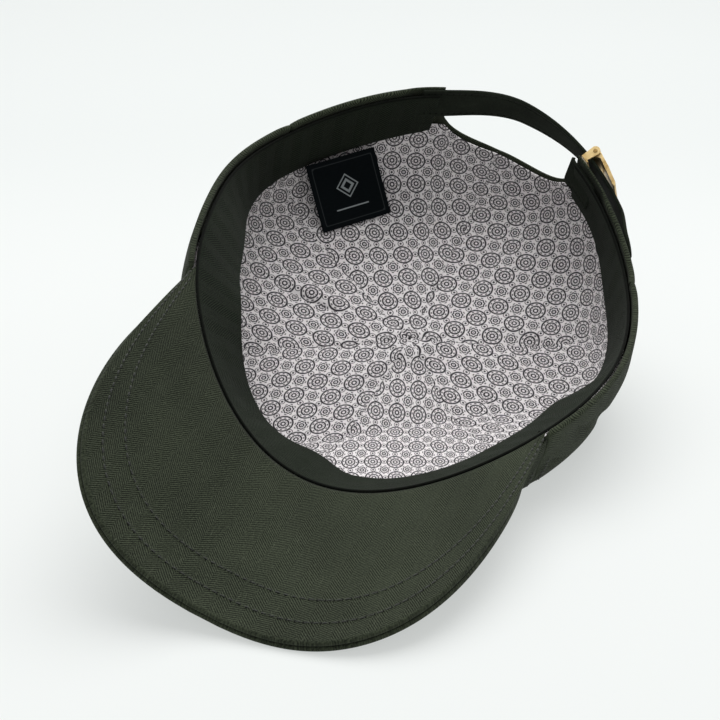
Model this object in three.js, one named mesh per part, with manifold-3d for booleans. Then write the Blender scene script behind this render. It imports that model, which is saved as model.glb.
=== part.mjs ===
// A six-panel baseball cap with a fabric strap and a brass fold-over buckle, lying upside down
// on a table: it rests on the flattened crown and on the front of its visor.
//
// The pieces are modelled as worn: front towards -Y, crown up, origin in the middle of the rim,
// with the angle round the rim measured from the front towards +X, the wearer's left.
// One group then turns them over into the lying pose and sets the lowest face at z = 0.
// Millimetres and degrees.
import * as THREE from "three";
import { mergeVertices } from "three/addons/utils/BufferGeometryUtils.js";
import Module from "manifold-3d";

const wasm = await Module();
wasm.setup();

// ---- driving dimensions ----
const HEAD_HALF_LENGTH = 95.2; // rim, front to back
const HEAD_HALF_WIDTH = 85;
const RIM_EGG = -0.063; // the back of the head is wider than the front
const RIM_WAVE_1 = 3.03; // the rim rises and falls once, twice and three times round the head
const RIM_WAVE_2 = 2.53;
const RIM_WAVE_3 = 8.79;
const RIM_PINCH = 2.2; // the wearer's left side is pressed in a little above the visor's end
const RIM_PINCH_AT = 80;
const RIM_PINCH_WIDTH = 16;
const LIE_TILT = 24.04; // the lying pose: forward onto the visor,
const LIE_ROLL = 21.69; // and over to the wearer's right

const GAP = 0.35; // between neighbouring pieces
const SHELL_THICK = 1.0;
const HEM_THICK = 2.2; // the shell's rolled hem at the rim
const HEM_DROP = 3; // the hem's fold below the sweatband seam
const WALL_OUT = 4; // the shell's outer face outside the sweatband seam
const LINING_THICK = 0.6;
const LINING_SETBACK = 1; // from the opening's arch
const LINING_ROOM = 0.9; // between shell and lining
const APEX_X = -4.2; // the button, where lying on the table has pushed the soft crown in
const APEX_Y = 9;
const APEX_Z = 53;
const BULGE = { front: 8, side: 12, back: 14 }; // how far the wall swells outside the rim
const BULGE_AT_BUCKLE = 8; // extra, where the strap pulls the rim in on the wearer's right
const SHOULDER_Z = 60; // height of the shoulder
const CROWN_FLAT = 0.7; // how far the flat top reaches out, as a part of the radius
const PANEL_SEAMS = [0, 60, 120, 180, 240, 300];
const CENTRE_HOLE_R = 3; // where the panels meet under the button
const BUTTON_R = 6.8;
const BUTTON_HEIGHT = 4.4;
const BUTTON_HOLLOW = 2.4;
const PRONG_R = 1.1;
const PRONG_FLANGE_R = 4.6;
const PRONG_FLANGE_THICK = 0.8;

const OPENING_LEFT = 162.6; // the back opening's two sides
const OPENING_RIGHT = 202.2;
const OPENING_DEPTH = 33.5;
const OPENING_SQUARENESS = 3; // exponent of the superellipse arch

const BAND_WIDTH = 26;
const BAND_THICK = 1.2;

const VISOR_CORNER = 62.1; // where the visor leaves the rim, either side of the front
const VISOR_LENGTH = 79.7;
const VISOR_SQUARENESS = 3.34;
const VISOR_SPREAD = 1.02;
const VISOR_CURVE_R = 71.7; // side-to-side bend
const VISOR_SLOPE = 20.9;
const COVER_THICK = 0.9;
const BOARD_THICK = 1.5;
const BOARD_INSET = 2.5; // the board stops short of the covers' edge

const STRAP_WIDTH = 15.5;
const STRAP_THICK = 1.2;
const STRAP_START = 157; // the sewn end, between the shell and the sweatband
const STRAP_END = 234; // the free end, outside the wearer's right panel
const STRAP_LIFT = 2.9; // its inner face above the shell, which leaves room for the buckle's base
const STRAP_LEAN_OUT = 4; // extra at the upper edge beside the buckle, which stands off the shell
const STRAP_RISE = -2.5; // the strap's lower edge from the sweatband seam
const TAIL_SPLIT = 215; // where the free end bends
const BUCKLE_AT = 203.6;
const LEVER_LENGTH = 19;
const LEVER_THICK = 1.3;
const BARREL_R = 2;
const PIN_R = 0.9;
const PIN_CLEARANCE = 0.25;
const FRAME_THICK = 0.8;
const FRAME_LENGTH = 11;

const LABEL_AT = 136;
const LABEL_WIDTH = 33;
const LABEL_LENGTH = 30;
const LABEL_SKEW = -4.5; // it hangs a little askew
const LABEL_THICK = 0.5;
const LABEL_OFF_BAND = 2.8;

// ---- colours ----
const cloth = (color) => new THREE.MeshStandardMaterial({ color, roughness: 0.95, metalness: 0 });
const brassLike = (color) => new THREE.MeshStandardMaterial({ color, roughness: 0.3, metalness: 1 });
const TWILL = 0x323a2e;
const DARK_TWILL = 0x161b15;
const PRINT = 0xb9b2b6;
const NAVY = 0x10151a;
const BOARD = 0xd8d4c8;
const BRASS = 0xcbb27c;
const STEEL = 0x9a9a98;

// ---- small helpers ----
const rad = THREE.MathUtils.degToRad;
const vec = (x, y, z) => new THREE.Vector3(x, y, z);
const UP = vec(0, 0, 1);
const smooth = (from, to, x) => THREE.MathUtils.smoothstep(x, from, to);
const mix = THREE.MathUtils.lerp;
const turn = (degrees) => ((((degrees + 180) % 360) + 360) % 360) - 180; // into -180..180
const bump = (at, width, degrees) => Math.exp(-((turn(degrees - at) / width) ** 2));
const steps = (from, to, count) =>
  Array.from({ length: count + 1 }, (_, i) => mix(from, to, i / count));

// ---- the rim ----
function rimPoint(degrees) {
  const a = rad(degrees);
  const pinch = RIM_PINCH * bump(RIM_PINCH_AT, RIM_PINCH_WIDTH, degrees);
  return vec(
    (HEAD_HALF_WIDTH * (1 + RIM_EGG * Math.cos(a)) - pinch) * Math.sin(a),
    -HEAD_HALF_LENGTH * Math.cos(a),
    RIM_WAVE_1 * Math.cos(a) + RIM_WAVE_2 * Math.cos(2 * a) + RIM_WAVE_3 * Math.cos(3 * a),
  );
}

function along(degrees) {
  const step = rimPoint(degrees + 0.5).sub(rimPoint(degrees - 0.5));
  return step.setZ(0).normalize();
}

const outward = (degrees) => along(degrees).cross(UP).normalize();

// A point beside the sweatband seam: so far outward and so far up.
function beside(degrees, out, up) {
  return rimPoint(degrees).addScaledVector(outward(degrees), out).addScaledVector(UP, up);
}

// ---- the lying pose and the floor ----
const lie = new THREE.Quaternion().setFromEuler(
  new THREE.Euler(rad(LIE_TILT), Math.PI + rad(LIE_ROLL), 0, "XYZ"),
);
const floorUp = UP.clone().applyQuaternion(lie.clone().invert());

// ---- a closed solid between two grids of points ----
function sheetSolid(columns, rows, outer, inner) {
  const position = [];
  const index = [];
  const add = (p) => position.push(p.x, p.y, p.z);
  for (const face of [outer, inner])
    for (let i = 0; i < columns; i++) for (let j = 0; j < rows; j++) add(face(i, j));
  const at = (side, i, j) => (side * columns + i) * rows + j;
  const quad = (a, b, c, d) => index.push(a, b, c, a, c, d);
  for (let i = 0; i + 1 < columns; i++) {
    for (let j = 0; j + 1 < rows; j++) {
      quad(at(0, i, j), at(0, i + 1, j), at(0, i + 1, j + 1), at(0, i, j + 1));
      quad(at(1, i, j), at(1, i, j + 1), at(1, i + 1, j + 1), at(1, i + 1, j));
    }
    quad(at(0, i, 0), at(1, i, 0), at(1, i + 1, 0), at(0, i + 1, 0));
    const last = rows - 1;
    quad(at(0, i, last), at(0, i + 1, last), at(1, i + 1, last), at(1, i, last));
  }
  for (let j = 0; j + 1 < rows; j++) {
    quad(at(0, 0, j), at(0, 0, j + 1), at(1, 0, j + 1), at(1, 0, j));
    const last = columns - 1;
    quad(at(0, last, j), at(1, last, j), at(1, last, j + 1), at(0, last, j + 1));
  }
  return closed(position, index);
}

// Turns the faces outward if the grids were given the other way round.
function closed(position, index) {
  const corner = (k) => vec(...position.slice(3 * index[k], 3 * index[k] + 3));
  let volume = 0;
  for (let k = 0; k < index.length; k += 3)
    volume += corner(k).dot(corner(k + 1).cross(corner(k + 2)));
  if (volume < 0)
    for (let k = 0; k < index.length; k += 3)
      [index[k + 1], index[k + 2]] = [index[k + 2], index[k + 1]];
  const geometry = new THREE.BufferGeometry();
  geometry.setAttribute("position", new THREE.Float32BufferAttribute(position, 3));
  geometry.setIndex(index);
  return geometry;
}

// The normals of a grid of points.
function gridNormals(points) {
  const columns = points.length;
  const rows = points[0].length;
  return points.map((column, i) =>
    column.map((_, j) => {
      const next = points[Math.min(i + 1, columns - 1)][j];
      const before = points[Math.max(i - 1, 0)][j];
      const above = column[Math.min(j + 1, rows - 1)];
      const below = column[Math.max(j - 1, 0)];
      return next.clone().sub(before).cross(above.clone().sub(below)).normalize();
    }),
  );
}

// ---- manifold-3d: joining and cutting ----
function toSolid(geometry) {
  const bare = geometry.clone();
  bare.deleteAttribute("normal");
  bare.deleteAttribute("uv");
  const merged = mergeVertices(bare, 1e-4);
  return new wasm.Manifold(
    new wasm.Mesh({
      numProp: 3,
      vertProperties: merged.attributes.position.array,
      triVerts: new Uint32Array(merged.index.array),
    }),
  );
}

function toGeometry(solid) {
  const mesh = solid.getMesh();
  const geometry = new THREE.BufferGeometry();
  geometry.setAttribute("position", new THREE.BufferAttribute(mesh.vertProperties, 3));
  geometry.setIndex(new THREE.BufferAttribute(mesh.triVerts, 1));
  return geometry;
}

// ---- the visor: a bent sheet between the rim and its outline ----
const VISOR_COLUMNS = steps(-0.965, 0.965, 30);
const VISOR_ROWS = steps(0, 1, 7);

function visorOutline(s) {
  const corner = rimPoint(VISOR_CORNER);
  const front = rimPoint(0);
  const a = (s * Math.PI) / 2;
  const power = 2 / VISOR_SQUARENESS;
  const x = corner.x * VISOR_SPREAD * Math.sign(a) * Math.abs(Math.sin(a)) ** power;
  const y = mix(corner.y, front.y - VISOR_LENGTH, Math.cos(a) ** power);
  const drop = (x * x) / (2 * VISOR_CURVE_R) + Math.tan(rad(VISOR_SLOPE)) * (front.y - y);
  return vec(x, y, front.z - drop);
}

// The rim's angle that faces a column of the visor: even spacing along the seam.
const seamAngle = (s) => s * VISOR_CORNER;

const visorUnderside = VISOR_COLUMNS.map((s) => {
  const seam = beside(seamAngle(s), BAND_THICK + GAP, 0);
  const edge = visorOutline(s);
  return VISOR_ROWS.map((v) => seam.clone().lerp(edge, v));
});

// One direction of thickness for each column, shared with its neighbours, so that the layers
// don't cross where the visor twists at its two ends.
function columnNormals(grid) {
  const sum = (vectors) => vectors.reduce((total, v) => total.add(v), vec(0, 0, 0)).normalize();
  const facing = gridNormals(grid).map(sum);
  return facing.map((_, i) => sum(facing.slice(Math.max(i - 2, 0), i + 3)));
}
const visorNormals = columnNormals(visorUnderside);
const visorUp = visorNormals[VISOR_COLUMNS.length >> 1].z > 0 ? 1 : -1;

function visorPoint(i, j, height, inset = 0) {
  const column = visorUnderside[i];
  const point = column[j].clone();
  if (inset && j === VISOR_ROWS.length - 1)
    point.addScaledVector(column[0].clone().sub(point).normalize(), inset);
  return point.addScaledVector(visorNormals[i], visorUp * height);
}

const BOARD_FROM = COVER_THICK + GAP;
const TOP_FROM = BOARD_FROM + BOARD_THICK + GAP;
const VISOR_THICK = TOP_FROM + COVER_THICK;

function visorLayer(from, thick, inset) {
  return sheetSolid(
    VISOR_COLUMNS.length,
    VISOR_ROWS.length,
    (i, j) => visorPoint(i, j, from + thick, inset),
    (i, j) => visorPoint(i, j, from, inset),
  );
}

let floorHeight = Infinity;
VISOR_COLUMNS.forEach((_, i) =>
  VISOR_ROWS.forEach((__, j) => {
    floorHeight = Math.min(floorHeight, visorPoint(i, j, VISOR_THICK).dot(floorUp));
  }),
);

// Inner cloth stays clear of the layers that lie on the floor.
const FLOOR_LAYERS = 4.6;
function keepOff(point) {
  const below = floorHeight + FLOOR_LAYERS - point.dot(floorUp);
  return below > 0 ? point.addScaledVector(floorUp, below) : point;
}

// Cloth below the floor is pushed up onto it.
function restOnFloor(point) {
  const below = floorHeight - point.dot(floorUp);
  return below > 0 ? point.addScaledVector(floorUp, below) : point;
}

// ---- the crown's outer face: one curve from the rim to the button for each angle ----
const apex = vec(APEX_X, APEX_Y, APEX_Z);
const SHELL_ABOVE_VISOR = VISOR_THICK + GAP;

// 0 along the visor, 1 along the free hem
const hemmed = (degrees) => smooth(VISOR_CORNER + 1, VISOR_CORNER + 7, Math.abs(turn(degrees)));

function crownCurve(degrees) {
  const a = rad(degrees);
  const rise = mix(SHELL_ABOVE_VISOR, -HEM_DROP, hemmed(degrees));
  const start = beside(degrees, WALL_OUT, rise);
  const frontness = (1 + Math.cos(a)) / 2;
  const sideness = Math.sin(a) ** 2;
  const swell =
    mix(mix(BULGE.back, BULGE.front, frontness), BULGE.side, sideness) +
    BULGE_AT_BUCKLE * bump(OPENING_RIGHT, 30, degrees);
  const shoulder = start.clone().addScaledVector(outward(degrees), swell);
  shoulder.z = SHOULDER_Z;
  const flat = apex.clone().lerp(start, CROWN_FLAT).setZ(APEX_Z);
  return new THREE.CubicBezierCurve3(start, shoulder, flat, apex);
}

const curves = new Map();
function curveAt(degrees) {
  if (!curves.has(degrees)) {
    const curve = crownCurve(degrees);
    curve.arcLengthDivisions = 60;
    curves.set(degrees, curve);
  }
  return curves.get(degrees);
}

// The crown's outer face, by angle and by height along the curve from its lower edge.
function facePoint(degrees, height) {
  const curve = curveAt(degrees);
  const u = THREE.MathUtils.clamp(height / curve.getLength(), 0, 1);
  return restOnFloor(curve.getPoint(curve.getUtoTmapping(u)));
}

// Its normal, pointing into the crown, over a patch a few millimetres wide.
function faceNormal(degrees, height) {
  const across = facePoint(degrees + 1.5, height).sub(facePoint(degrees - 1.5, height));
  const upward = facePoint(degrees, height + 2.5).sub(facePoint(degrees, height - 2.5));
  return upward.cross(across).normalize();
}

const inside = (degrees, height, depth) =>
  facePoint(degrees, height).addScaledVector(faceNormal(degrees, height), depth);

// Depth of the back opening at an angle, 0 outside it.
function openingDepth(degrees) {
  const middle = (OPENING_LEFT + OPENING_RIGHT) / 2;
  const half = (OPENING_RIGHT - OPENING_LEFT) / 2;
  const u = Math.abs(turn(degrees - middle)) / half;
  return u < 1 ? OPENING_DEPTH * (1 - u ** OPENING_SQUARENESS) ** (1 / OPENING_SQUARENESS) : 0;
}

const PANEL_ROWS = [
  0, 0.02, 0.04, 0.08, 0.12, 0.16, 0.22, 0.29, 0.37, 0.46, 0.55, 0.64, 0.73, 0.82, 0.9, 0.96, 1,
];

// The columns of a panel: even, with more beside the opening's steep sides.
function panelColumns(from, to) {
  const inner = steps(from, to, 8);
  for (const [edge, towards] of [
    [OPENING_LEFT, 1],
    [OPENING_RIGHT, -1],
  ])
    for (const step of [0, 0.02, 0.2, 0.9, 2.2]) {
      const column = edge + towards * step;
      if (column > from && column < to) inner.push(column);
    }
  return inner
    .sort((a, b) => a - b)
    .filter((c, i, all) => i === 0 || c - all[i - 1] > 0.015);
}

// Heights of a panel's rows along the crown curve. The lining starts higher, behind the
// sweatband or close to the opening's arch, and then follows the shell's rows, so that the
// two layers never cross.
const LINING_FIRST_ROW = 4;
const LINING_SHARED_ROW = 6;

function rowHeights(degrees, length, isLining) {
  const depth = openingDepth(degrees);
  const rows = PANEL_ROWS.map((v) => mix(depth, length - CENTRE_HOLE_R, v));
  if (!isLining) return rows;
  if (depth === 0) return rows.slice(LINING_FIRST_ROW);
  const start = Math.max(depth + LINING_SETBACK, PANEL_ROWS[LINING_FIRST_ROW] * length);
  const shared = rows.slice(LINING_SHARED_ROW);
  return [start, (start + shared[0]) / 2, ...shared];
}

// One panel between two seams, drawn in by half a gap at each. depthOf gives how far its outer
// face lies inside the crown's face, and thickOf its thickness.
function panelSolid(from, to, isLining, depthOf, thickOf) {
  const columns = panelColumns(from, to);
  const last = columns.length - 1;
  const grid = columns.map((degrees, i) => {
    const sideways = (i === 0) - (i === last);
    return rowHeights(degrees, curveAt(degrees).getLength(), isLining).map((height, j) => {
      const point = facePoint(degrees, height);
      const radial = point.clone().sub(apex).setZ(0);
      const shift = UP.clone().cross(radial).normalize();
      const depth = depthOf(point);
      restOnFloor(point.addScaledVector(shift, (sideways * GAP) / 2));
      return { point, normal: faceNormal(degrees, height), depth, thick: thickOf(degrees, j) };
    });
  });
  const place = ({ point, normal }, depth) => point.clone().addScaledVector(normal, depth);
  return sheetSolid(
    columns.length,
    grid[0].length,
    (i, j) => place(grid[i][j], grid[i][j].depth),
    (i, j) => place(grid[i][j], grid[i][j].depth + grid[i][j].thick),
  );
}

// The hem thickens the shell's first rows, except beside the visor and at the opening's sides,
// where the strap comes through.
function shellThickness(degrees, row) {
  const fade = [1, 0.75, 0.3][row] ?? 0;
  const clear =
    hemmed(degrees) *
    (1 - smooth(STRAP_START - 6, STRAP_START - 1, degrees)) +
    smooth(OPENING_RIGHT + 10, OPENING_RIGHT + 15, degrees) * hemmed(degrees);
  return mix(SHELL_THICK, HEM_THICK, fade * Math.min(clear, 1));
}

// The lining hangs free of the shell round the button, to leave room for the prong's flange.
const PRONG_ROOM = 2.2;
function liningDepth(point) {
  const radius = Math.hypot(point.x - apex.x, point.y - apex.y);
  const room = PRONG_ROOM * (1 - smooth(PRONG_FLANGE_R + 1, PRONG_FLANGE_R + 9, radius));
  return SHELL_THICK + LINING_ROOM + room;
}

// ---- the sweatband ----
// It stands up from the seam and leans into the crown: steeply all along the front, upright
// at the back, with a few soft buckles where it has been pressed.
function bandLean(degrees) {
  const d = turn(degrees);
  const front = 1 - smooth(72, 106, d) - (1 - smooth(-100, -76, d));
  return (
    37 * front + 18 * bump(2, 9, d) + 9 * bump(61, 8, d) - 6 * bump(-55, 20, d) + 4 * bump(-81, 5, d)
  );
}

function bandDirection(degrees) {
  const lean = rad(bandLean(degrees));
  return UP.clone()
    .multiplyScalar(Math.cos(lean))
    .addScaledVector(outward(degrees), -Math.sin(lean));
}

function sweatband() {
  const from = OPENING_RIGHT - 360 + 1;
  const columns = steps(from, OPENING_LEFT - 1, 72);
  const rows = steps(0, BAND_WIDTH, 4);
  const inner = columns.map((d) =>
    rows.map((h) => keepOff(rimPoint(d).addScaledVector(bandDirection(d), h))),
  );
  const across = columns.map((d) => along(d).cross(bandDirection(d)).normalize());
  return sheetSolid(
    columns.length,
    rows.length,
    (i, j) => inner[i][j].clone().addScaledVector(across[i], BAND_THICK),
    (i, j) => inner[i][j],
  );
}

// ---- ribbons: a strip of even thickness along stations with a lower and an upper edge ----
function ribbon(stations, thick) {
  const normals = stations.map((_, i) => {
    const before = stations[Math.max(i - 1, 0)];
    const next = stations[Math.min(i + 1, stations.length - 1)];
    const run = next.low.clone().add(next.high).sub(before.low).sub(before.high);
    return run.cross(stations[i].high.clone().sub(stations[i].low)).normalize();
  });
  const rows = [0, 0.5, 1];
  const edge = (i, v) => stations[i].low.clone().lerp(stations[i].high, v);
  return sheetSolid(
    stations.length,
    rows.length,
    (i, j) => edge(i, rows[j]).addScaledVector(normals[i], thick),
    (i, j) => edge(i, rows[j]),
  );
}

// The strap: out of the channel at the wearer's left, free across the opening, then outside
// the right-hand panel. Inner face, lower and upper edges.
const CHANNEL_OUT = BAND_THICK + GAP + 0.1;

function strapStation(degrees) {
  const left = 1 - smooth(OPENING_LEFT - 1, OPENING_LEFT + 21, degrees);
  const outsideFace = (height) => {
    const point = facePoint(degrees, height);
    return point.sub(rimPoint(degrees)).dot(outward(degrees)) + STRAP_LIFT;
  };
  const low = mix(outsideFace(HEM_DROP + STRAP_RISE), CHANNEL_OUT, left);
  const leanOut = STRAP_LEAN_OUT * bump(BUCKLE_AT, 16, degrees);
  const wall = outsideFace(HEM_DROP + STRAP_RISE + STRAP_WIDTH) + leanOut;
  const high = mix(wall, CHANNEL_OUT, left);
  const lowEdge = beside(degrees, low, STRAP_RISE);
  const across = beside(degrees, high, STRAP_RISE + STRAP_WIDTH).sub(lowEdge).normalize();
  return { low: lowEdge, high: lowEdge.clone().addScaledVector(across, STRAP_WIDTH) };
}

const strapPiece = (from, to, count) => ribbon(steps(from, to, count).map(strapStation), STRAP_THICK);

// ---- the buckle's own frame: x along the strap to its free end, y outward, z across it ----
const buckleStation = strapStation(BUCKLE_AT);
const buckleZ = buckleStation.high.clone().sub(buckleStation.low).normalize();
const buckleNext = strapStation(BUCKLE_AT + 6);
const buckleX = buckleNext.low.clone().add(buckleNext.high)
  .sub(buckleStation.low).sub(buckleStation.high).normalize();
const buckleY = buckleZ.clone().cross(buckleX).normalize();
buckleX.crossVectors(buckleY, buckleZ);
const buckleSide = buckleY.dot(outward(BUCKLE_AT)) > 0 ? 1 : -1;

function buckleGroup() {
  const group = new THREE.Group();
  const basis = new THREE.Matrix4().makeBasis(buckleX, buckleY, buckleZ);
  group.quaternion.setFromRotationMatrix(basis);
  group.position.copy(buckleStation.low).lerp(buckleStation.high, 0.5);
  return group;
}

// Outward is +y here whichever way the strap's frame came out.
const out = (y) => buckleSide * y;
const PIN_HEIGHT = STRAP_THICK + GAP + BARREL_R + 0.25;
const BASE_GAP = 1.3; // under the strap, which curves towards the base
const CHEEK_THICK = 0.9;
const CHEEK_Z = STRAP_WIDTH / 2 + 1.1;
const LEVER_HALF = CHEEK_Z - GAP - 0.2;

function boxAt(x, y, z, cx, cy, cz) {
  return new THREE.BoxGeometry(x, y, z).translate(cx, out(cy), cz);
}

function rod(radius, length, cx, cy) {
  return new THREE.CylinderGeometry(radius, radius, length, 24)
    .rotateX(Math.PI / 2)
    .translate(cx, out(cy), 0);
}

// The base lies under the strap, and a cheek at each edge of the strap carries the pin.
function buckleFrame() {
  const baseY = -BASE_GAP - FRAME_THICK / 2;
  const width = 2 * (CHEEK_Z + CHEEK_THICK);
  let solid = toSolid(boxAt(FRAME_LENGTH, FRAME_THICK, width, FRAME_LENGTH / 2 - 3.5, baseY, 0));
  for (const side of [-1, 1]) {
    const z = side * (CHEEK_Z + CHEEK_THICK / 2);
    const top = PIN_HEIGHT + BARREL_R;
    const low = -BASE_GAP - FRAME_THICK;
    solid = solid.add(toSolid(boxAt(5, top - low, CHEEK_THICK, 0, (top + low) / 2, z)));
  }
  const bore = toSolid(rod(PIN_R + 0.02, 40, 0, PIN_HEIGHT));
  return toGeometry(solid.subtract(bore));
}

const bucklePin = () => rod(PIN_R, 2 * (CHEEK_Z + CHEEK_THICK) + 0.6, 0, PIN_HEIGHT);

// A barrel on the pin, and the plate that folds down over the strap.
function buckleLever() {
  const plateY = PIN_HEIGHT + BARREL_R - LEVER_THICK / 2;
  const plate = boxAt(LEVER_LENGTH, LEVER_THICK, 2 * LEVER_HALF, LEVER_LENGTH / 2, plateY, 0);
  const solid = toSolid(plate).add(toSolid(rod(BARREL_R, 2 * LEVER_HALF, 0, PIN_HEIGHT)));
  return toGeometry(solid.subtract(toSolid(rod(PIN_R + PIN_CLEARANCE, 60, 0, PIN_HEIGHT))));
}

// The tab that holds the buckle: sewn in behind the right-hand edge, round it and back outside.
function buckleTab() {
  const start = CHANNEL_OUT;
  const path = [
    [OPENING_RIGHT + 9, start],
    [OPENING_RIGHT + 4, start],
    [OPENING_RIGHT + 0.5, start],
    [OPENING_RIGHT - 1.4, start + 0.8],
    [OPENING_RIGHT - 2, start + 2.4],
    [OPENING_RIGHT - 1.4, start + 4],
  ];
  const stations = path.map(([degrees, distance]) => ({
    low: beside(degrees, distance, 0.5),
    high: beside(degrees, distance, 13.5),
  }));
  return ribbon(stations, -0.9);
}

// ---- the label: a flat flap sewn to the sweatband's free edge, lying on the lining ----
const labelHinge = beside(LABEL_AT, -LABEL_OFF_BAND, BAND_WIDTH - 2);
const LABEL_REACH = BAND_WIDTH + LABEL_LENGTH + HEM_DROP;
const LABEL_CLEAR = 9.3; // its middle line from the crown's face: the wall curves, the label doesn't
const labelAxis = along(LABEL_AT);
const labelFlat = inside(LABEL_AT, LABEL_REACH, LABEL_CLEAR).sub(labelHinge).normalize();
const labelNormal = labelAxis.clone().cross(labelFlat).normalize();
const labelDown = labelFlat.applyAxisAngle(labelNormal, rad(LABEL_SKEW));
const labelWidthWay = labelAxis.applyAxisAngle(labelNormal, rad(LABEL_SKEW));

function sizeLabel() {
  const across = steps(-LABEL_WIDTH / 2, LABEL_WIDTH / 2, 2);
  const lengths = steps(0, LABEL_LENGTH, 2);
  const spot = (i, j) =>
    labelHinge
      .clone()
      .addScaledVector(labelWidthWay, across[i])
      .addScaledVector(labelDown, lengths[j]);
  return sheetSolid(3, 3, (i, j) => spot(i, j).addScaledVector(labelNormal, -LABEL_THICK), spot);
}

// ---- the button ----
function topButton() {
  const hollow = PRONG_R + GAP;
  const profile = [
    [0, BUTTON_HOLLOW],
    [hollow, BUTTON_HOLLOW],
    [hollow, 0],
    [BUTTON_R * 0.93, 0],
    [BUTTON_R, BUTTON_HEIGHT * 0.22],
    [BUTTON_R * 0.9, BUTTON_HEIGHT * 0.6],
    [BUTTON_R * 0.62, BUTTON_HEIGHT * 0.88],
    [BUTTON_R * 0.3, BUTTON_HEIGHT * 0.98],
    [0, BUTTON_HEIGHT],
  ].map(([r, h]) => new THREE.Vector2(r, h));
  const lathe = new THREE.LatheGeometry(profile, 24).rotateX(Math.PI / 2);
  return lathe.translate(apex.x, apex.y, apex.z + GAP);
}

function buttonProng() {
  const under = -SHELL_THICK - GAP;
  const profile = [
    [0, under - PRONG_FLANGE_THICK],
    [PRONG_FLANGE_R, under - PRONG_FLANGE_THICK],
    [PRONG_FLANGE_R, under],
    [PRONG_R, under],
    [PRONG_R, BUTTON_HOLLOW],
    [0, BUTTON_HOLLOW],
  ].map(([r, h]) => new THREE.Vector2(r, h));
  const lathe = new THREE.LatheGeometry(profile, 20).rotateX(Math.PI / 2);
  return lathe.translate(apex.x, apex.y, apex.z);
}

// ---- assembly ----
const worn = new THREE.Group();
worn.quaternion.copy(lie);

function add(name, geometry, material, parent = worn) {
  const mesh = new THREE.Mesh(geometry, material);
  mesh.name = name;
  parent.add(mesh);
}

const PANEL_NAMES = ["front_left", "side_left", "back_left", "back_right", "side_right", "front_right"];
PANEL_NAMES.forEach((name, k) => {
  const from = PANEL_SEAMS[k];
  const to = from + 60;
  add(
    `${name}_panel`,
    panelSolid(from, to, false, () => 0, shellThickness),
    cloth(TWILL),
  );
  add(
    `${name}_lining`,
    panelSolid(from, to, true, liningDepth, () => LINING_THICK),
    cloth(PRINT),
  );
});

add("sweatband", sweatband(), cloth(DARK_TWILL));
add("visor_under_cover", visorLayer(0, COVER_THICK, 0), cloth(TWILL));
add("visor_board", visorLayer(BOARD_FROM, BOARD_THICK, BOARD_INSET), cloth(BOARD));
add("visor_top_cover", visorLayer(TOP_FROM, COVER_THICK, 0), cloth(TWILL));
add("top_button", topButton(), cloth(TWILL));
add("button_prong", buttonProng(), brassLike(STEEL));
add("back_strap", strapPiece(STRAP_START, TAIL_SPLIT, 26), cloth(DARK_TWILL));
add("strap_tail", strapPiece(TAIL_SPLIT + 0.3, STRAP_END, 8), cloth(DARK_TWILL));
add("buckle_tab", buckleTab(), cloth(DARK_TWILL));
add("size_label", sizeLabel(), cloth(NAVY));

const buckle = buckleGroup();
worn.add(buckle);
add("buckle_frame", buckleFrame(), brassLike(BRASS), buckle);
add("buckle_pin", bucklePin(), brassLike(STEEL), buckle);
add("buckle_lever", buckleLever(), brassLike(BRASS), buckle);

// The origin is under the middle of the cap's box, on the face it lies on.
const cap = new THREE.Group();
cap.add(worn);
cap.updateMatrixWorld(true);
const box = new THREE.Box3().setFromObject(cap, true);
const middle = box.getCenter(vec(0, 0, 0));
worn.position.set(-middle.x, -middle.y, -box.min.z);

export default cap;
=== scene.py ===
"""The looks of the baseball cap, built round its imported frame.

Shapes are worked out as the cap is worn: front towards -Y, crown up, the origin in the middle of
the rim, in millimetres, with the angle round the rim measured from the front towards +X.
to_row() then turns them over into the lying pose, in metres.
"""

import math

import bmesh
import bpy
import numpy as np
from mathutils import Matrix, Vector


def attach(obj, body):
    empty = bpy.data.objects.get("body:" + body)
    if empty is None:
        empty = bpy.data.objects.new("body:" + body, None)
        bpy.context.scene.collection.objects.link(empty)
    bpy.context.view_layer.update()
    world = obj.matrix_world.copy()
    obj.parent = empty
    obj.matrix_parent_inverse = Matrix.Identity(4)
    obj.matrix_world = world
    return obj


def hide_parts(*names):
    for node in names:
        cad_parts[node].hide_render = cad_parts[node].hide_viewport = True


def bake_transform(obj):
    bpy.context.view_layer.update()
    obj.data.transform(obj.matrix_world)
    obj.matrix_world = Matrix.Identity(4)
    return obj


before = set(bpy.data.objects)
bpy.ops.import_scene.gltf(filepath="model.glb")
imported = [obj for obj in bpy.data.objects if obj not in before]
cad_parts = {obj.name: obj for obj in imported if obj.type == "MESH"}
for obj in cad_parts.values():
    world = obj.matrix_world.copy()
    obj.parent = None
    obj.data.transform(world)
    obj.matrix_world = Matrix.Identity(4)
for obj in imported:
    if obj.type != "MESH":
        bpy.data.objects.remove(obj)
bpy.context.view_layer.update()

# - the same driving dimensions as the frame, in millimetres and degrees
HALF_LENGTH, HALF_WIDTH, RIM_EGG = 95.2, 85.0, -0.063
RIM_WAVES = (3.03, 2.53, 8.79)
PINCH, PINCH_AT, PINCH_WIDTH = 2.2, 80, 16
LIE_TILT, LIE_ROLL = 24.04, 21.69
WORN_ORIGIN = np.array([4.493, 32.380, 66.247])
GAP, SHELL_THICK, HEM_THICK, HEM_DROP, WALL_OUT = 0.35, 1.0, 2.2, 3.0, 4.0
LINING_THICK, LINING_ROOM, PRONG_ROOM = 0.6, 0.9, 2.2
APEX = np.array([-4.2, 9, 53])
BULGE_FRONT, BULGE_SIDE, BULGE_BACK, BULGE_BUCKLE = 8, 12, 14, 8
SHOULDER_Z, FLAT = 60, 0.7
CENTRE_HOLE = 3.0
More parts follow.
